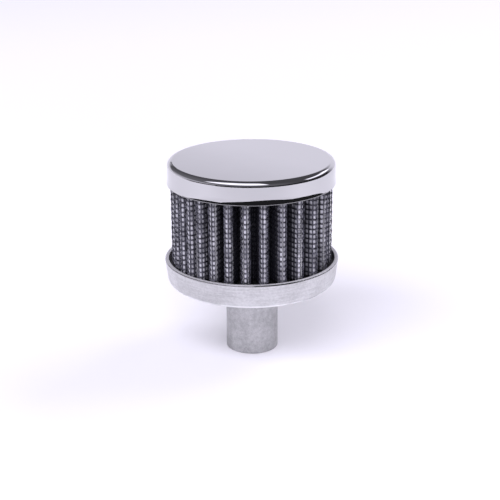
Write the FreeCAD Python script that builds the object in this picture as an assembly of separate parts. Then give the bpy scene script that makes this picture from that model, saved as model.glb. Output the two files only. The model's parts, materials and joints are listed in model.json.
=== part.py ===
import FreeCAD, Part
import math
import os

# Crankcase breather filter: a pleated filter pack between a drawn cap and a base cup with a vent tube.
# Millimetres. +Z is up along the axis, and the origin is the middle of the tube's lower end.
# The front of the filter faces -Y.

# Vent tube
tube_diameter = 15.875
tube_wall = 1.5875
tube_reach = 21.6            # free length below the base cup
tube_edge_radius = 0.4
tube_bore_edge_radius = 0.3
tube_shoulder = 0.6          # the step that seats under the cup's floor
collar_width = 2.6           # the end that is swaged over the cup's floor
collar_thickness = 0.95

# Base cup
cup_height = 7.9
cup_wall = 1.15
cup_floor = 1.15
cup_draft = 7.0              # degrees that the wall leans in towards the floor
cup_bottom_radius = 2.6
cup_rim_edge_radius = 0.35
cup_rim_inner_edge_radius = 0.15
cup_margin = 0.9             # potting between the pleats and the cup's mouth

# Cap
cap_depth = 6.95
cap_wall = 0.7
cap_edge_radius = 1.5
cap_margin = 0.12            # potting between the pleats and the skirt
lip_flare = 0.18
lip_height = 1.2
lip_blend_radius = 11.0
lip_edge_radius = 0.25
lip_inner_edge_radius = 0.1

# Potting
lower_seal_setback = 1.6     # below the cup's rim
upper_seal_setback = 1.6     # above the cap's lip
seal_passage_margin = 2.6    # the passage through the lower seal, outside the tube's bore

# Pleat pack
exposed_height = 23.5        # from the cup's rim to the cap's lip
pack_outer_radius = 24.4
pack_inner_radius = 15.9
pleat_count = 28
first_pleat = -81.6          # degrees, the tip that the even spacing starts from
gather = 12.9                # degrees, the most that a pleat is drawn along from even spacing
gather_side = 8.9            # degrees, where the pleats are drawn along the most
tip_core_radius = 0.3        # the hollow inside each outer fold
valley_core_radius = 0.25    # the gap inside each inner fold
outer_screen_thickness = 0.4
gauze_thickness = 0.4
inner_screen_thickness = 0.4

# Levels and radii that follow
tube_radius = tube_diameter / 2
bore_radius = tube_radius - tube_wall
spigot_radius = tube_radius - tube_shoulder
collar_radius = spigot_radius + collar_width
passage_radius = bore_radius + seal_passage_margin

cup_bottom = tube_reach
floor_top = cup_bottom + cup_floor
collar_top = floor_top + collar_thickness
rim_height = cup_bottom + cup_height
lip_level = rim_height + exposed_height
cap_top = lip_level + cap_depth
cap_ceiling = cap_top - cap_wall
lower_seal_top = rim_height - lower_seal_setback
upper_seal_bottom = lip_level + upper_seal_setback

skirt_inner_radius = pack_outer_radius + cap_margin
skirt_radius = skirt_inner_radius + cap_wall
mouth_radius = pack_outer_radius + cup_margin
rim_radius = mouth_radius + cup_wall

stack_thickness = outer_screen_thickness + gauze_thickness + inner_screen_thickness
tip_radius = tip_core_radius + stack_thickness
valley_radius = valley_core_radius + stack_thickness


def drafted(mouth, height):
    """Radius of the cup's drafted wall at a height, from its radius at the rim."""
    return mouth - (rim_height - height) * math.tan(math.radians(cup_draft))


def turned(corners):
    """Solid of revolution about Z from (radius, height, rounding) corners, in order round its section."""
    points = [FreeCAD.Vector(radius, 0, height) for radius, height, rounding in corners]
    starts, ends, edges = [], [], []
    for i, (radius, height, rounding) in enumerate(corners):
        corner = points[i]
        back = (points[i - 1] - corner).normalize()
        ahead = (points[(i + 1) % len(points)] - corner).normalize()
        half_angle = back.getAngle(ahead) / 2
        setback = rounding / math.tan(half_angle)
        starts.append(corner + back * setback)
        ends.append(corner + ahead * setback)
        if rounding:
            inward = (back + ahead).normalize()
            middle = corner + inward * (rounding / math.sin(half_angle) - rounding)
            edges.append(Part.Arc(starts[i], middle, ends[i]).toShape())
    for i in range(len(points)):
        edges.append(Part.LineSegment(ends[i], starts[(i + 1) % len(points)]).toShape())
    section = Part.Face(Part.Wire(Part.__sortEdges__(edges)))
    return section.revolve(FreeCAD.Vector(0, 0, 0), FreeCAD.Vector(0, 0, 1), 360)


def polar(radius, angle):
    return FreeCAD.Vector(radius * math.cos(angle), radius * math.sin(angle), 0)


def pleat_angle(number):
    """Direction of a pleat's tip: even spacing, drawn closer together on one side of the pack."""
    even = math.radians(first_pleat) + 2 * math.pi * number / pleat_count
    return even + math.radians(gather) * math.sin(even - math.radians(gather_side))


def flank_direction(tip, valley, side):
    """Angle of the normal to the flat flank that runs from a tip fold to a valley fold."""
    span = valley - tip
    lean = math.acos((tip_radius + valley_core_radius) / span.Length)
    return math.atan2(span.y, span.x) - side * lean


def folded_outline(depth):
    """Closed wire of the pleats at a depth into the stack: round folds joined by flat flanks."""
    tip_fold = tip_radius - depth
    valley_fold = valley_core_radius + depth
    tip_ring = pack_outer_radius - tip_radius
    valley_ring = pack_inner_radius + valley_radius
    edges = []
    for number in range(pleat_count):
        here, after, before = (pleat_angle(number + step) for step in (0, 1, -1))
        tip = polar(tip_ring, here)
        valley = polar(valley_ring, (here + after) / 2)
        valley_before = polar(valley_ring, (before + here) / 2)
        next_tip = polar(tip_ring, after)
        rising = flank_direction(tip, valley_before, -1)
        falling = flank_direction(tip, valley, 1)
        climbing = flank_direction(next_tip, valley, -1)
        crest = rising + ((falling - rising) % (2 * math.pi)) / 2
        root = falling + math.pi - ((falling - climbing) % (2 * math.pi)) / 2
        tip_end = tip + polar(tip_fold, falling)
        valley_start = valley - polar(valley_fold, falling)
        valley_end = valley - polar(valley_fold, climbing)
        next_start = next_tip + polar(tip_fold, climbing)
        edges.append(Part.Arc(tip + polar(tip_fold, rising), tip + polar(tip_fold, crest), tip_end).toShape())
        edges.append(Part.LineSegment(tip_end, valley_start).toShape())
        edges.append(Part.Arc(valley_start, valley + polar(valley_fold, root), valley_end).toShape())
        edges.append(Part.LineSegment(valley_end, next_start).toShape())
    return Part.Wire(edges)


def pleated_sheet(depth, thickness):
    """One pleated layer of the stack, between the two potted ends."""
    ring = Part.makeFace([folded_outline(depth), folded_outline(depth + thickness)], "Part::FaceMakerBullseye")
    ring.translate(FreeCAD.Vector(0, 0, lower_seal_top))
    return ring.extrude(FreeCAD.Vector(0, 0, upper_seal_bottom - lower_seal_top))


def make_stub_tube():
    """Turned vent tube: a shoulder under the cup's floor, and its end swaged into a collar above it."""
    return turned([
        (bore_radius, 0, tube_bore_edge_radius),
        (tube_radius, 0, tube_edge_radius),
        (tube_radius, cup_bottom, 0),
        (spigot_radius, cup_bottom, 0),
        (spigot_radius, floor_top, 0),
        (collar_radius, floor_top, 0),
        (collar_radius, collar_top, 0),
        (bore_radius, collar_top, 0),
    ])


def make_base_cup():
    """Drafted cup, with its hole at the diameter of the tube's spigot."""
    return turned([
        (spigot_radius, cup_bottom, 0),
        (drafted(rim_radius, cup_bottom), cup_bottom, cup_bottom_radius),
        (rim_radius, rim_height, cup_rim_edge_radius),
        (mouth_radius, rim_height, cup_rim_inner_edge_radius),
        (drafted(mouth_radius, floor_top), floor_top, cup_bottom_radius - cup_wall),
        (spigot_radius, floor_top, 0),
    ])


def make_lower_end_seal():
    """Potting cast into the cup, over the tube's collar."""
    return turned([
        (collar_radius, floor_top, 0),
        (drafted(mouth_radius, floor_top), floor_top, cup_bottom_radius - cup_wall),
        (drafted(mouth_radius, lower_seal_top), lower_seal_top, 0),
        (passage_radius, lower_seal_top, 0),
        (passage_radius, collar_top, 0),
        (collar_radius, collar_top, 0),
    ])


def make_top_cap():
    """Drawn cap with a rolled edge and a lip that flares a little."""
    return turned([
        (0, cap_top, 0),
        (0, cap_ceiling, 0),
        (skirt_inner_radius, cap_ceiling, cap_edge_radius - cap_wall),
        (skirt_inner_radius, lip_level + lip_height, lip_blend_radius + cap_wall),
        (skirt_inner_radius + lip_flare, lip_level, lip_inner_edge_radius),
        (skirt_radius + lip_flare, lip_level, lip_edge_radius),
        (skirt_radius, lip_level + lip_height, lip_blend_radius),
        (skirt_radius, cap_top, cap_edge_radius),
    ])


def make_upper_end_seal():
    """Potting cast into the cap."""
    return turned([
        (0, upper_seal_bottom, 0),
        (skirt_inner_radius, upper_seal_bottom, 0),
        (skirt_inner_radius, cap_ceiling, cap_edge_radius - cap_wall),
        (0, cap_ceiling, 0),
    ])


gauze_depth = outer_screen_thickness
inner_screen_depth = gauze_depth + gauze_thickness

pieces = {
    "stub_tube": make_stub_tube(),
    "base_cup": make_base_cup(),
    "lower_end_seal": make_lower_end_seal(),
    "outer_screen": pleated_sheet(0, outer_screen_thickness),
    "cotton_gauze": pleated_sheet(gauze_depth, gauze_thickness),
    "inner_screen": pleated_sheet(inner_screen_depth, inner_screen_thickness),
    "upper_end_seal": make_upper_end_seal(),
    "top_cap": make_top_cap(),
}

os.makedirs("parts", exist_ok=True)
for name, shape in pieces.items():
    shape.exportStep(f"parts/{name}.step")
    print(name, "valid" if shape.isValid() else "NOT VALID", f"{shape.Volume:.1f} mm3")
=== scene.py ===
import json
import math

import bmesh
import bpy
import numpy as np
from mathutils import Matrix, Vector


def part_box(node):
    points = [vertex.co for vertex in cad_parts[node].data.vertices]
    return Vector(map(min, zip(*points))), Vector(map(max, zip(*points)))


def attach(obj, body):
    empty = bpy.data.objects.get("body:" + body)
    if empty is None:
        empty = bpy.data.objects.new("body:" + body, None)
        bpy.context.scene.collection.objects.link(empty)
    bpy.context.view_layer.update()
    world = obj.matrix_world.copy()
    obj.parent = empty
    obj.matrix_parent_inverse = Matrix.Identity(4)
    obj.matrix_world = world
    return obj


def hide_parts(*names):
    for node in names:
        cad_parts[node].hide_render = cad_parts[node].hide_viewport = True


# Crankcase breather filter: the finish of the turned pieces, the woven wire screen and the gauze behind it.
# Metres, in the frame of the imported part: +Z up, the tube's lower end at the origin, the front facing -Y.

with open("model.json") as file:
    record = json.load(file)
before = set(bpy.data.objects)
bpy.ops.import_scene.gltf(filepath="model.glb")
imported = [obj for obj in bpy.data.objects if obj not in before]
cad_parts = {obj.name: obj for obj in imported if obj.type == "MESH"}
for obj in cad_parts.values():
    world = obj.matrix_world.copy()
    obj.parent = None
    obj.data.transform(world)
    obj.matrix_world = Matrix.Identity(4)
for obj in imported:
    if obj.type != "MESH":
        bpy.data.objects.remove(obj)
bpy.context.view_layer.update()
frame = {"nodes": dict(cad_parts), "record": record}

MM = 0.001
UP = Vector((0, 0, 1))

# The pleat pack, as the part has it
PACK_OUTER_RADIUS = 24.4 * MM
PACK_INNER_RADIUS = 15.9 * MM
PLEAT_COUNT = 28
FIRST_PLEAT = math.radians(-81.6)
GATHER = math.radians(12.9)
GATHER_SIDE = math.radians(8.9)
TIP_CORE_RADIUS = 0.3 * MM
VALLEY_CORE_RADIUS = 0.25 * MM
LAYER_THICKNESS = 0.4 * MM
STACK_THICKNESS = 3 * LAYER_THICKNESS
TIP_RADIUS = TIP_CORE_RADIUS + STACK_THICKNESS
VALLEY_RADIUS = VALLEY_CORE_RADIUS + STACK_THICKNESS

# The woven screen
WIRE_RADIUS = 0.16 * MM
WIRE_CRIMP = 0.09 * MM          # how far a wire swings out as it passes over another
UPRIGHT_PITCH = 1.3 * MM
LEVEL_PITCH = 1.5 * MM
SCREEN_DEPTH = LAYER_THICKNESS / 2
GAUZE_SETBACK = LAYER_THICKNESS  # from the middle of the screen to the middle of the gauze
GAUZE_PUFF = 0.28 * MM          # how far the gauze swells through a mesh of the screen
GAUZE_MAP = "sheet"             # counts the screen's meshes across and up
FOLD_STEPS = 10
THREADS_PER_MESH = 4

# The cap's finish
LIP_LEVEL = 53.0 * MM
PLATE_STARTS = (LIP_LEVEL + 0.18 * MM, LIP_LEVEL + 0.32 * MM)  # the bright plate, above a painted dark reflection on the lip's edge

# The cup's finish, by height: a painted highlight on the bottom edge, and a faced rim over a rounding with a
# painted dark reflection
CUP_BOTTOM = 21.6 * MM
RIM_HEIGHT = 29.5 * MM
HIGHLIGHT_STARTS = (CUP_BOTTOM + 0.1 * MM, CUP_BOTTOM + 0.5 * MM)
HIGHLIGHT_ENDS = (CUP_BOTTOM + 0.8 * MM, CUP_BOTTOM + 1.4 * MM)
ROUNDING_STARTS = (RIM_HEIGHT - 0.5 * MM, RIM_HEIGHT - 0.3 * MM)
FACE_STARTS = (RIM_HEIGHT - 0.10 * MM, RIM_HEIGHT - 0.02 * MM)
LINE_DENSITY = 2600             # turning lines to the metre
LINE_BREAKS = 4                 # how often a line changes, to the radian

# The tube's finish, with painted shade towards its lower end
TUBE_SHADE_END = 9 * MM

# The wires' finish
# Where the wires turn greyer towards the pleats' tips: painted shade in the folds, and wear
TIP_WEAR_AND_SHADE_STARTS = (PACK_OUTER_RADIUS - 1.6 * TIP_RADIUS, PACK_OUTER_RADIUS - 0.3 * TIP_RADIUS)
BARE_WIRES = 60                 # how closely the bare places lie, to the radian
BARE_RUNS = 14                  # and to the metre of height

# The cloth's finish
STRAND_STEP = 7.3               # apart enough that each column of meshes has a tone of its own
STRAND_RUN = 0.2                # how soon the tone changes, to the mesh
# Where the painted shade in the folds gives way to the cloth's own tone
FOLD_SHADE_STARTS = (PACK_OUTER_RADIUS - 3 * TIP_RADIUS, PACK_OUTER_RADIUS - 0.8 * TIP_RADIUS)
TONE_LEFT_IN_FOLD_SHADE = 0.07                   # what is left of the cloth's tone in the painted shade deep in the folds

# The camera, fitted to the photo
PHOTO_SIZE = 500
FOCAL_PIXELS = 1274.6
SENSOR_WIDTH = 36.0
CAMERA_DISTANCE = 390 * MM
CAMERA_ELEVATION = math.radians(19.4)
CAMERA_ROLL = math.radians(-0.35)
AIM = Vector((-0.52 * MM, 0, 31.17 * MM))

# The studio
LIGHT_TINT = (1.0, 0.97, 1.12)  # the photo's cool light
FLOOR_CORNERS = [(-0.9, 2.4), (-0.35, -0.42), (0.25, -0.185), (0.9, 2.4)]
FLOOR_FRONT_SHADE = (-0.22, -0.08)    # where painted shade darkens the paper towards the front, below the picture
FLOOR_BRIGHTENS = (0.1, 0.6)    # from the filter outwards
FILL = 0.47                     # the even light that reaches matt surfaces
SOFTBOXES = {
    "key_softbox": dict(azimuth=-26, elevation=50, distance=2.0, width=2.2, height=0.8, power=30),
    "right_softbox": dict(azimuth=120, elevation=42, distance=2.0, width=1.2, height=0.6, power=12),
    "front_strip": dict(azimuth=0, elevation=9, distance=1.2, width=0.8, height=0.2, power=5),
}

# The room, as bright metal sees it. Levels of light, and where along a direction's x, y or z they set in
PANELS = [
    dict(left=-76, right=26, low=39, high=80),
    dict(left=85, right=143, low=22, high=34),
]
PANEL_LIGHT = 1.9
PANEL_BLUR = math.radians(3)
DARK_ROOM = 0.02
UPPER_ROOM = 0.07
UPPER_ROOM_STARTS = (0.0, 0.3)
CAMERA_SIDE = 0.08
CAMERA_SIDE_STARTS = (0.3, 0.8)
LEFT_SIDE = 0.10
LEFT_SIDE_STARTS = (0.0, 0.9)
WINDOW = 0.5                    # low on the left
WINDOW_STARTS = (0.55, 0.95)
WINDOW_SILL = (-0.05, 0.05)
WINDOW_HEAD = (0.18, 0.42)
WALL = 0.92                     # behind the filter, at the height below
WALL_HEIGHT = 0.264
WALL_FADE = 5.5                 # how fast the wall darkens upwards
WALL_TILT = 1.3                 # and to the left
WALL_MOST = 0.95
WALL_STARTS = (0.2, 0.7)
WALL_TURN = 0.35                # the wall reaches further round on the left


class Field:
    """A value that varies over a surface: a node's socket that takes part in arithmetic."""

    def __init__(self, board, socket):
        self.board = board
        self.socket = socket

    def maths(self, operation, *others):
        values = dict(enumerate((self, *others)))
        return self.board.node("ShaderNodeMath", {"operation": operation}, values)

    def __add__(self, other):
        return self.maths("ADD", other)

    def __sub__(self, other):
        return self.maths("SUBTRACT", other)

    def __mul__(self, other):
        return self.maths("MULTIPLY", other)

    def __rsub__(self, other):
        return self.board.node("ShaderNodeMath", {"operation": "SUBTRACT"}, {0: other, 1: self})

    __radd__ = __add__
    __rmul__ = __mul__

    def between(self, low, high):
        """0 at low, 1 at high, smooth between them."""
        settings = {"interpolation_type": "SMOOTHSTEP"}
        values = {"Value": self, "From Min": low, "From Max": high}
        return self.board.node("ShaderNodeMapRange", settings, values)


class Board:
    """A node tree that is drawn up in Python expressions."""

    def __init__(self, tree):
        self.tree = tree
        tree.nodes.clear()

    def node(self, kind, settings=None, values=None, output=0):
        made = self.tree.nodes.new(kind)
        for key, setting in (settings or {}).items():
            setattr(made, key, setting)
        for key, value in (values or {}).items():
            if isinstance(value, Field):
                self.tree.links.new(value.socket, made.inputs[key])
            else:
                made.inputs[key].default_value = value
        return Field(self, made.outputs[output]) if made.outputs else made

    def mix(self, share, first, second):
        """A colour from first to second."""
        return self.node("ShaderNodeMix", {"data_type": "RGBA"}, {0: share, 6: first, 7: second}, 2)

    def noise(self, vector, scale, detail=2.0, roughness=0.5):
        values = {"Vector": vector, "Scale": scale, "Detail": detail, "Roughness": roughness}
        return self.node("ShaderNodeTexNoise", None, values)

    def bump(self, height, strength, distance):
        values = {"Strength": strength, "Distance": distance, "Height": height}
        return self.node("ShaderNodeBump", None, values)

    def parts(self, vector):
        split = self.node("ShaderNodeSeparateXYZ", None, {"Vector": vector})
        return [Field(self, socket) for socket in split.socket.node.outputs]

    def vector(self, x, y, z):
        return self.node("ShaderNodeCombineXYZ", None, {"X": x, "Y": y, "Z": z})

    def here(self):
        return self.node("ShaderNodeTexCoord", None, None, "Object")

    def around(self):
        """Turned coordinates about Z: the angle, the radius and the height."""
        x, y, z = self.parts(self.here())
        return y.maths("ARCTAN2", x), (x * x + y * y).maths("SQRT"), z


def grey(level, tint=0.0):
    """A neutral colour, with a little blue where tint is over 0."""
    return (level, level, level * (1 + tint), 1)


def material(name, build):
    made = bpy.data.materials.new(name)
    made.use_nodes = True
    board = Board(made.node_tree)
    shader = board.node("ShaderNodeBsdfPrincipled", None, build(board))
    board.node("ShaderNodeOutputMaterial", None, {"Surface": shader})
    return made


def chrome_finish(board):
    """Bright plate with faint polishing marks, and a painted dark reflection on the lip's edge."""
    place = board.here()
    height = board.parts(place)[2]
    haze = board.noise(place, scale=90, detail=3)
    marks = board.noise(place, scale=1400, detail=2)
    plate = board.mix(haze, grey(0.56), grey(0.60))
    return {
        # The lip's edge below the plate is painted dark grey: a painted dark reflection.
        "Base Color": board.mix(height.between(*PLATE_STARTS), grey(0.22), plate),
        "Metallic": 1.0,
        "Roughness": 0.02 + haze.between(0.45, 0.8) * 0.03,
        "Normal": board.bump(marks, strength=0.008, distance=0.02 * MM),
    }


def satin_finish(board):
    """Spun aluminium: fine turning lines and speckle, a painted highlight on the bottom edge, a faced rim
    and a painted dark reflection on the rounding.
    """
    angle, radius, height = board.around()
    place = board.here()
    turned = board.vector(angle * LINE_BREAKS, radius * LINE_DENSITY, height * LINE_DENSITY)
    lines = board.noise(turned, scale=1.0, detail=3, roughness=0.6)
    speckle = board.noise(place, scale=1500, detail=2, roughness=0.6)
    cloud = board.noise(place, scale=160, detail=3)
    shade = lines * 0.45 + speckle * 0.3 + cloud * 0.25
    # edge: a painted highlight along the bottom edge, in patches
    edge = height.between(*HIGHLIGHT_STARTS) * (1 - height.between(*HIGHLIGHT_ENDS)) * cloud.between(0.3, 0.55)
    faced = height.between(*FACE_STARTS)
    # rounding: the rim's rounding, painted dark as a painted dark reflection
    rounding = height.between(*ROUNDING_STARTS) * (1 - faced)
    skin = board.mix(shade.between(0.32, 0.68), grey(0.52), grey(0.74))
    skin = board.mix(edge, skin, grey(0.96))
    skin = board.mix(rounding * 0.65, skin, grey(0.20))
    return {
        "Base Color": board.mix(faced, skin, grey(0.48)),
        "Metallic": 1 - faced,
        "Roughness": 0.32 + lines * 0.2 - rounding * 0.2,
        "Normal": board.bump(lines + speckle, strength=0.08, distance=0.03 * MM),
    }


def cast_finish(board):
    """Matt tube: a mottled grey skin with a fine grain, and painted shade towards its lower end, by the
    floor.
    """
    place = board.here()
    height = board.parts(place)[2]
    mottle = board.noise(place, scale=800, detail=4, roughness=0.65)
    cloud = board.noise(place, scale=150, detail=2)
    grain = board.noise(place, scale=3000, detail=2)
    shade = mottle * 0.45 + cloud * 0.3 + grain * 0.25
    # Painted shade: darker towards the lower end, by the floor.
    shade = shade.between(0.30, 0.70) * 0.75 + height.between(0.0, TUBE_SHADE_END) * 0.25
    return {
        "Base Color": board.mix(shade, grey(0.26), grey(0.58)),
        "Metallic": 0.35,
        "Roughness": 0.5 + mottle * 0.15,
        "Normal": board.bump(grain * 0.6 + mottle, strength=0.2, distance=0.06 * MM),
    }


def urethane_finish(board):
    """Cast black potting, a little uneven."""
    place = board.here()
    skin = board.noise(place, scale=500, detail=3)
    return {
        "Base Color": board.mix(skin, grey(0.010), grey(0.024)),
        "Roughness": 0.38 + skin * 0.2,
        "Normal": board.bump(skin, strength=0.3, distance=0.1 * MM),
    }


def wire_finish(board):
    """Dark epoxy coat over the wires, greyer on the pleats' tips as painted light against painted shade in
    the folds, and worn to the metal on a few.
    """
    angle, radius, height = board.around()
    place = board.here()
    coat = board.noise(place, scale=900, detail=3)
    tips = radius.between(*TIP_WEAR_AND_SHADE_STARTS)
    # Greyer on the tips and dark in the folds: painted light and shade, with the coat's own uneven tone.
    tip_wear_and_painted_light = tips * coat.between(0.3, 0.7)
    runs = board.noise(board.vector(angle * BARE_WIRES, 0.0, height * BARE_RUNS), scale=1.0, detail=1)
    bare = tips * runs.between(0.62, 0.68)
    colour = board.mix(tip_wear_and_painted_light, grey(0.009, 0.4), grey(0.13, 0.2))
    return {
        "Base Color": board.mix(bare, colour, grey(0.62)),
        "Metallic": bare,
        "Specular IOR Level": 0.2,
        "Roughness": 0.4 + coat * 0.2,
        "Normal": board.bump(board.noise(place, scale=4000, detail=2), strength=0.15, distance=0.03 * MM),
    }


def gauze_finish(board):
    """Cotton cloth: painted light where it swells through a mesh, painted shade along the wires and in the
    folds.
    """
    across, up, _ = board.parts(board.node("ShaderNodeUVMap", {"uv_map": GAUZE_MAP}))
    _, radius, _ = board.around()
    # Painted light at the middle of each mesh, painted shade along the wires.
    swell_light_and_wire_shade = (across * math.pi).maths("SINE") * (up * math.pi).maths("SINE")
    weft = (across * THREADS_PER_MESH * math.tau).maths("SINE")
    warp = (up * THREADS_PER_MESH * math.tau).maths("SINE")
    threads = weft * warp
    slub = board.noise(board.here(), scale=900, detail=3)
    column = across.maths("FLOOR")
    strand = board.noise(board.vector(column * STRAND_STEP, up * STRAND_RUN, 0.0), scale=1.0, detail=1)
    # Painted shade deep in the folds, times each column's own tone.
    fold_shade_and_strand_tone = TONE_LEFT_IN_FOLD_SHADE + radius.between(*FOLD_SHADE_STARTS) * (1 - TONE_LEFT_IN_FOLD_SHADE)
    fold_shade_and_strand_tone = fold_shade_and_strand_tone * (0.45 + strand.between(0.35, 0.62) * 0.75)
    light = swell_light_and_wire_shade.maths("ABSOLUTE") + threads * 0.02 + (slub - 0.5) * 0.7
    return {
        "Base Color": board.mix(light.between(-0.3, 1.0) * fold_shade_and_strand_tone, grey(0.024, 0.3), grey(0.54, 0.06)),
        "Roughness": 0.75,
        "Normal": board.bump(threads * 0.1 + slub, strength=0.2, distance=0.06 * MM),
    }


FINISHES = {
    "chrome_plate": material("chrome_plate", chrome_finish),
    "satin_aluminium": material("satin_aluminium", satin_finish),
    "matt_aluminium": material("matt_aluminium", cast_finish),
    "black_urethane": material("black_urethane", urethane_finish),
    "coated_wire": material("coated_wire", wire_finish),
    "cotton": material("cotton", gauze_finish),
}


def dress_cad_nodes():
    """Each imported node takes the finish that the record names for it."""
    for subpart in frame["record"]["subparts"]:
        node = frame["nodes"][subpart["node"]]
        node.data.materials.clear()
        node.data.materials.append(FINISHES[subpart["material_slot"]])


def polar(radius, angle):
    return Vector((radius * math.cos(angle), radius * math.sin(angle), 0))


def pleat_angle(number):
    """Direction of a pleat's tip: even spacing, drawn closer together on one side of the pack."""
    even = FIRST_PLEAT + math.tau * number / PLEAT_COUNT
    return even + GATHER * math.sin(even - GATHER_SIDE)


def flank_direction(tip, valley, side):
    """Angle of the normal to the flat flank that runs from a tip fold to a valley fold."""
    span = valley - tip
    lean = math.acos((TIP_RADIUS + VALLEY_CORE_RADIUS) / span.length)
    return math.atan2(span.y, span.x) - side * lean


def fold_arc(centre, radius, start, sweep):
    return [centre + polar(radius, start + sweep * step / FOLD_STEPS) for step in range(FOLD_STEPS + 1)]


def folded_outline(depth):
    """Points round the pleats at a depth into the stack: round folds joined by flat flanks."""
    points = []
    for number in range(PLEAT_COUNT):
        here, after, before = (pleat_angle(number + step) for step in (0, 1, -1))
        tip = polar(PACK_OUTER_RADIUS - TIP_RADIUS, here)
        next_tip = polar(PACK_OUTER_RADIUS - TIP_RADIUS, after)
        valley = polar(PACK_INNER_RADIUS + VALLEY_RADIUS, (here + after) / 2)
        valley_before = polar(PACK_INNER_RADIUS + VALLEY_RADIUS, (before + here) / 2)
        rising = flank_direction(tip, valley_before, -1)
        falling = flank_direction(tip, valley, 1)
        climbing = flank_direction(next_tip, valley, -1)
        tip_sweep = (falling - rising) % math.tau
        valley_sweep = -((falling - climbing) % math.tau)
        points += fold_arc(tip, TIP_RADIUS - depth, rising, tip_sweep)
        points += fold_arc(valley, VALLEY_CORE_RADIUS + depth, falling + math.pi, valley_sweep)
    return points


class FoldedPath:
    """The closed line of the pleats at a depth, by distance along it."""

    def __init__(self, depth):
        corners = np.array([point.to_tuple() for point in folded_outline(depth)])
        self.corners = np.vstack([corners, corners[:1]])
        steps = np.linalg.norm(np.diff(self.corners, axis=0), axis=1)
        self.marks = np.concatenate([[0.0], np.cumsum(steps)])
        self.length = self.marks[-1]

    def at(self, distance):
        along = distance % self.length
        return Vector([np.interp(along, self.marks, self.corners[:, axis]) for axis in range(3)])

    def outward(self, distance):
        """The sheet's outward normal: the path runs anticlockwise, so it is on the right hand."""
        reach = WIRE_RADIUS
        ahead = self.at(distance + reach) - self.at(distance - reach)
        return Vector((ahead.y, -ahead.x, 0)).normalized()


def finished_piece(name, mesh, slot, node):
    """A mesh as a piece of the filter, in place of the node that it stands for."""
    for face in mesh.polygons:
        face.use_smooth = True
    mesh.materials.clear()
    mesh.materials.append(FINISHES[slot])
    piece = bpy.data.objects.new(name, mesh)
    bpy.context.scene.collection.objects.link(piece)
    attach(piece, "root")
    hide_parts(node)
    return piece


def drawn_wires(name, lines, closed):
    """A mesh of round wires, each along its own line of points."""
    curve = bpy.data.curves.new(name, "CURVE")
    curve.dimensions = "3D"
    curve.bevel_depth = WIRE_RADIUS
    curve.bevel_resolution = 0
    curve.use_fill_caps = True
    for line in lines:
        spline = curve.splines.new("POLY")
        spline.points.add(len(line) - 1)
        for point, place in zip(spline.points, line):
            point.co = (*place, 1)
        spline.use_cyclic_u = closed
    holder = bpy.data.objects.new(name, curve)
    mesh = bpy.data.meshes.new_from_object(holder)
    bpy.data.objects.remove(holder)
    bpy.data.curves.remove(curve)
    mesh.name = name
    return mesh


def weave_counts(path, height):
    """Upright wires round the pack, an even number so that the weave closes, and level wires up it."""
    uprights = 2 * round(path.length / UPRIGHT_PITCH / 2)
    levels = round(height / LEVEL_PITCH)
    return uprights, levels


def make_screen():
    """The outer screen as woven wire that follows the pleats."""
    low, high = (corner.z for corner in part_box("outer_screen"))
    path = FoldedPath(SCREEN_DEPTH)
    uprights, levels = weave_counts(path, high - low)
    run = path.length / uprights
    rise = (high - low) / levels
    upright_lines = []
    for number in range(uprights):
        foot = path.at(number * run)
        outward = path.outward(number * run)
        line = []
        for level in range(levels + 1):
            swing = WIRE_CRIMP * (-1) ** (number + level)
            line.append(foot + outward * swing + UP * (low + rise * level))
        upright_lines.append(line)
    level_lines = []
    for level in range(1, levels):
        line = []
        for half_step in range(2 * uprights):
            distance = half_step * run / 2
            swing = 0.0 if half_step % 2 else -WIRE_CRIMP * (-1) ** (half_step // 2 + level)
            line.append(path.at(distance) + path.outward(distance) * swing + UP * (low + rise * level))
        level_lines.append(line)
    upright_mesh = drawn_wires("screen_uprights", upright_lines, closed=False)
    finished_piece("screen_uprights", upright_mesh, "coated_wire", "outer_screen")
    level_mesh = drawn_wires("screen_levels", level_lines, closed=True)
    finished_piece("screen_levels", level_mesh, "coated_wire", "outer_screen")


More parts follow.
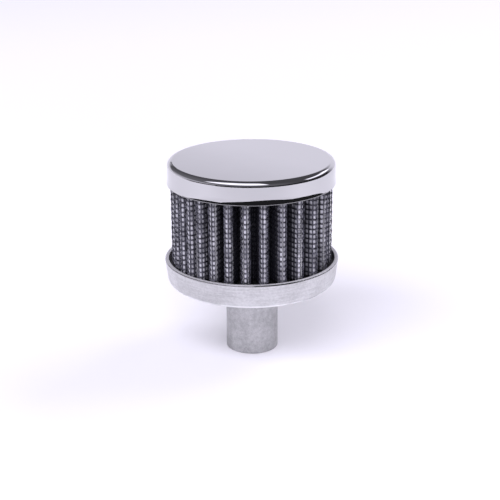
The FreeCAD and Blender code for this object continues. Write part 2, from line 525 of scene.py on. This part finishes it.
def make_gauze():
    """The gauze as a folded cloth that swells a little through each mesh of the screen."""
    low, high = (corner.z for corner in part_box("cotton_gauze"))
    path = FoldedPath(SCREEN_DEPTH)
    uprights, levels = weave_counts(path, high - low)
    columns, rows = 2 * uprights, 2 * levels
    cloth = bmesh.new()
    layer = cloth.loops.layers.uv.new(GAUZE_MAP)
    distances = [path.length * column / columns for column in range(columns)]
    normals = [path.outward(distance) for distance in distances]
    ring = [cloth.verts.new(path.at(distance) - normal * GAUZE_SETBACK + UP * low)
            for distance, normal in zip(distances, normals)]
    edges = [cloth.edges.new((ring[i], ring[(i + 1) % columns])) for i in range(columns)]
    column_of = {vert: i for i, vert in enumerate(ring)}
    for row in range(1, rows + 1):
        grown = bmesh.ops.extrude_edge_only(cloth, edges=edges)["geom"]
        risen = [item for item in grown if isinstance(item, bmesh.types.BMVert)]
        bmesh.ops.translate(cloth, vec=UP * ((high - low) / rows), verts=risen)
        for vert in risen:
            below = min((edge.other_vert(vert) for edge in vert.link_edges), key=lambda other: other.co.z)
            column_of[vert] = column_of[below]
        edges = [item for item in grown if isinstance(item, bmesh.types.BMEdge)
                 and abs(item.verts[0].co.z - item.verts[1].co.z) < WIRE_RADIUS]
    puffed = [vert for vert in cloth.verts
              if column_of[vert] % 2 and round((vert.co.z - low) / (high - low) * rows) % 2]
    for vert in puffed:
        vert.co += normals[column_of[vert]] * GAUZE_PUFF
    for face in cloth.faces:
        for loop in face.loops:
            column = column_of[loop.vert]
            wraps = column == 0 and any(column_of[v] == columns - 1 for v in face.verts)
            mesh_across = (columns if wraps else column) / 2
            mesh_up = (loop.vert.co.z - low) / (high - low) * levels
            loop[layer].uv = (mesh_across, mesh_up)
    bmesh.ops.recalc_face_normals(cloth, faces=cloth.faces[:])
    mesh = bpy.data.meshes.new("gauze")
    cloth.to_mesh(mesh)
    cloth.free()
    piece = finished_piece("gauze", mesh, "cotton", "cotton_gauze")
    thicken = piece.modifiers.new("thickness", "SOLIDIFY")
    thicken.thickness = LAYER_THICKNESS / 2
    thicken.offset = -1


def paper_finish(board):
    """Pale paper, whitest far from the filter, with painted shade in front of it."""
    place = board.here()
    _, radius, _ = board.around()
    paper = board.mix(board.noise(place, scale=3, detail=2), grey(0.93), grey(0.95))
    paper = board.mix(radius.between(*FLOOR_BRIGHTENS), paper, grey(0.99))
    # Painted shade on the paper in front of the filter, which the cap's chrome reflects.
    front = 1 - board.parts(place)[1].between(*FLOOR_FRONT_SHADE)
    return {
        "Base Color": board.mix(front, paper, grey(0.80)),
        "Roughness": 0.9,
        "Specular IOR Level": 0.0,
    }


def make_floor():
    """A pale floor that fills the picture. Past its front edge, bright metal sees the dark room."""
    ground = bmesh.new()
    corners = [ground.verts.new((x, y, 0)) for x, y in FLOOR_CORNERS]
    ground.faces.new(corners)
    mesh = bpy.data.meshes.new("floor")
    ground.to_mesh(mesh)
    ground.free()
    mesh.materials.append(material("pale_paper", paper_finish))
    floor = bpy.data.objects.new("floor", mesh)
    bpy.context.scene.collection.objects.link(floor)


def make_softbox(name, azimuth, elevation, distance, width, height, power):
    """A soft lamp that faces the filter. Azimuth 0 is the camera's side, and it grows to the camera's right.

    Bright metal sees the room's panels in its place.
    """
    lamp = bpy.data.lights.new(name, "AREA")
    lamp.shape = "RECTANGLE"
    lamp.size = width
    lamp.size_y = height
    lamp.energy = power
    lamp.color = LIGHT_TINT
    holder = bpy.data.objects.new(name, lamp)
    bpy.context.scene.collection.objects.link(holder)
    turn, tilt = math.radians(azimuth), math.radians(elevation)
    away = Vector((math.sin(turn) * math.cos(tilt), -math.cos(turn) * math.cos(tilt), math.sin(tilt)))
    holder.location = AIM + away * distance
    holder.rotation_euler = away.to_track_quat("Z", "Y").to_euler()
    holder.visible_glossy = False


def soft_span(field, low, high):
    """1 between low and high, 0 outside, with blurred ends."""
    begun = field.between(low - PANEL_BLUR, low + PANEL_BLUR)
    ended = field.between(high - PANEL_BLUR, high + PANEL_BLUR)
    return begun * (1 - ended)


def lit_panel(azimuth, height, left, right, low, high):
    """A soft-edged patch of the room, by its azimuths and elevations in degrees."""
    across = soft_span(azimuth, math.radians(left), math.radians(right))
    return across * soft_span(height, math.sin(math.radians(low)), math.sin(math.radians(high)))


def make_room():
    """An even fill for matt surfaces. Bright metal sees a pale wall, lit panels and a dark room."""
    world = bpy.data.worlds.new("room")
    bpy.context.scene.world = world
    world.use_nodes = True
    board = Board(world.node_tree)
    x, y, z = board.parts(board.node("ShaderNodeTexCoord", None, None, "Generated"))
    forward = 0 - y
    left = 0 - x
    azimuth = x.maths("ARCTAN2", forward)
    camera_side = forward.between(*CAMERA_SIDE_STARTS) * CAMERA_SIDE
    left_side = left.between(*LEFT_SIDE_STARTS) * LEFT_SIDE
    upper = z.between(*UPPER_ROOM_STARTS) * (UPPER_ROOM + camera_side + left_side)
    window = left.between(*WINDOW_STARTS) * z.between(*WINDOW_SILL) * (1 - z.between(*WINDOW_HEAD))
    room = DARK_ROOM + upper + window * WINDOW
    wall = WALL - (z - WALL_HEIGHT) * WALL_FADE + x * WALL_TILT
    wall = wall.maths("MINIMUM", WALL_MOST).maths("MAXIMUM", room)
    seen = room + (wall - room) * (y - x * WALL_TURN).between(*WALL_STARTS)
    for panel in PANELS:
        seen = seen + lit_panel(azimuth, z, **panel) * PANEL_LIGHT
    path = board.node("ShaderNodeLightPath").socket.node.outputs
    mirrored = Field(board, path["Is Glossy Ray"])
    looked_at = Field(board, path["Is Camera Ray"])
    level = mirrored * seen + (1 - mirrored) * FILL
    level = level * (1 - looked_at) + looked_at
    glow = board.node("ShaderNodeBackground", None, {"Color": (*LIGHT_TINT, 1), "Strength": level})
    board.node("ShaderNodeOutputWorld", None, {"Surface": glow})


def make_camera():
    """The photo's viewpoint."""
    lens = bpy.data.cameras.new("camera")
    lens.sensor_width = SENSOR_WIDTH
    lens.lens = FOCAL_PIXELS / PHOTO_SIZE * SENSOR_WIDTH
    camera = bpy.data.objects.new("camera", lens)
    bpy.context.scene.collection.objects.link(camera)
    back = Vector((0, -math.cos(CAMERA_ELEVATION), math.sin(CAMERA_ELEVATION)))
    turn = Matrix.Rotation(math.pi / 2 - CAMERA_ELEVATION, 4, "X") @ Matrix.Rotation(CAMERA_ROLL, 4, "Z")
    camera.matrix_world = Matrix.Translation(AIM + back * CAMERA_DISTANCE) @ turn
    bpy.context.scene.camera = camera


dress_cad_nodes()
make_screen()
make_gauze()
make_floor()
for softbox, values in SOFTBOXES.items():
    make_softbox(softbox, **values)
make_room()
make_camera()
bpy.context.scene.view_settings.view_transform = "Standard"
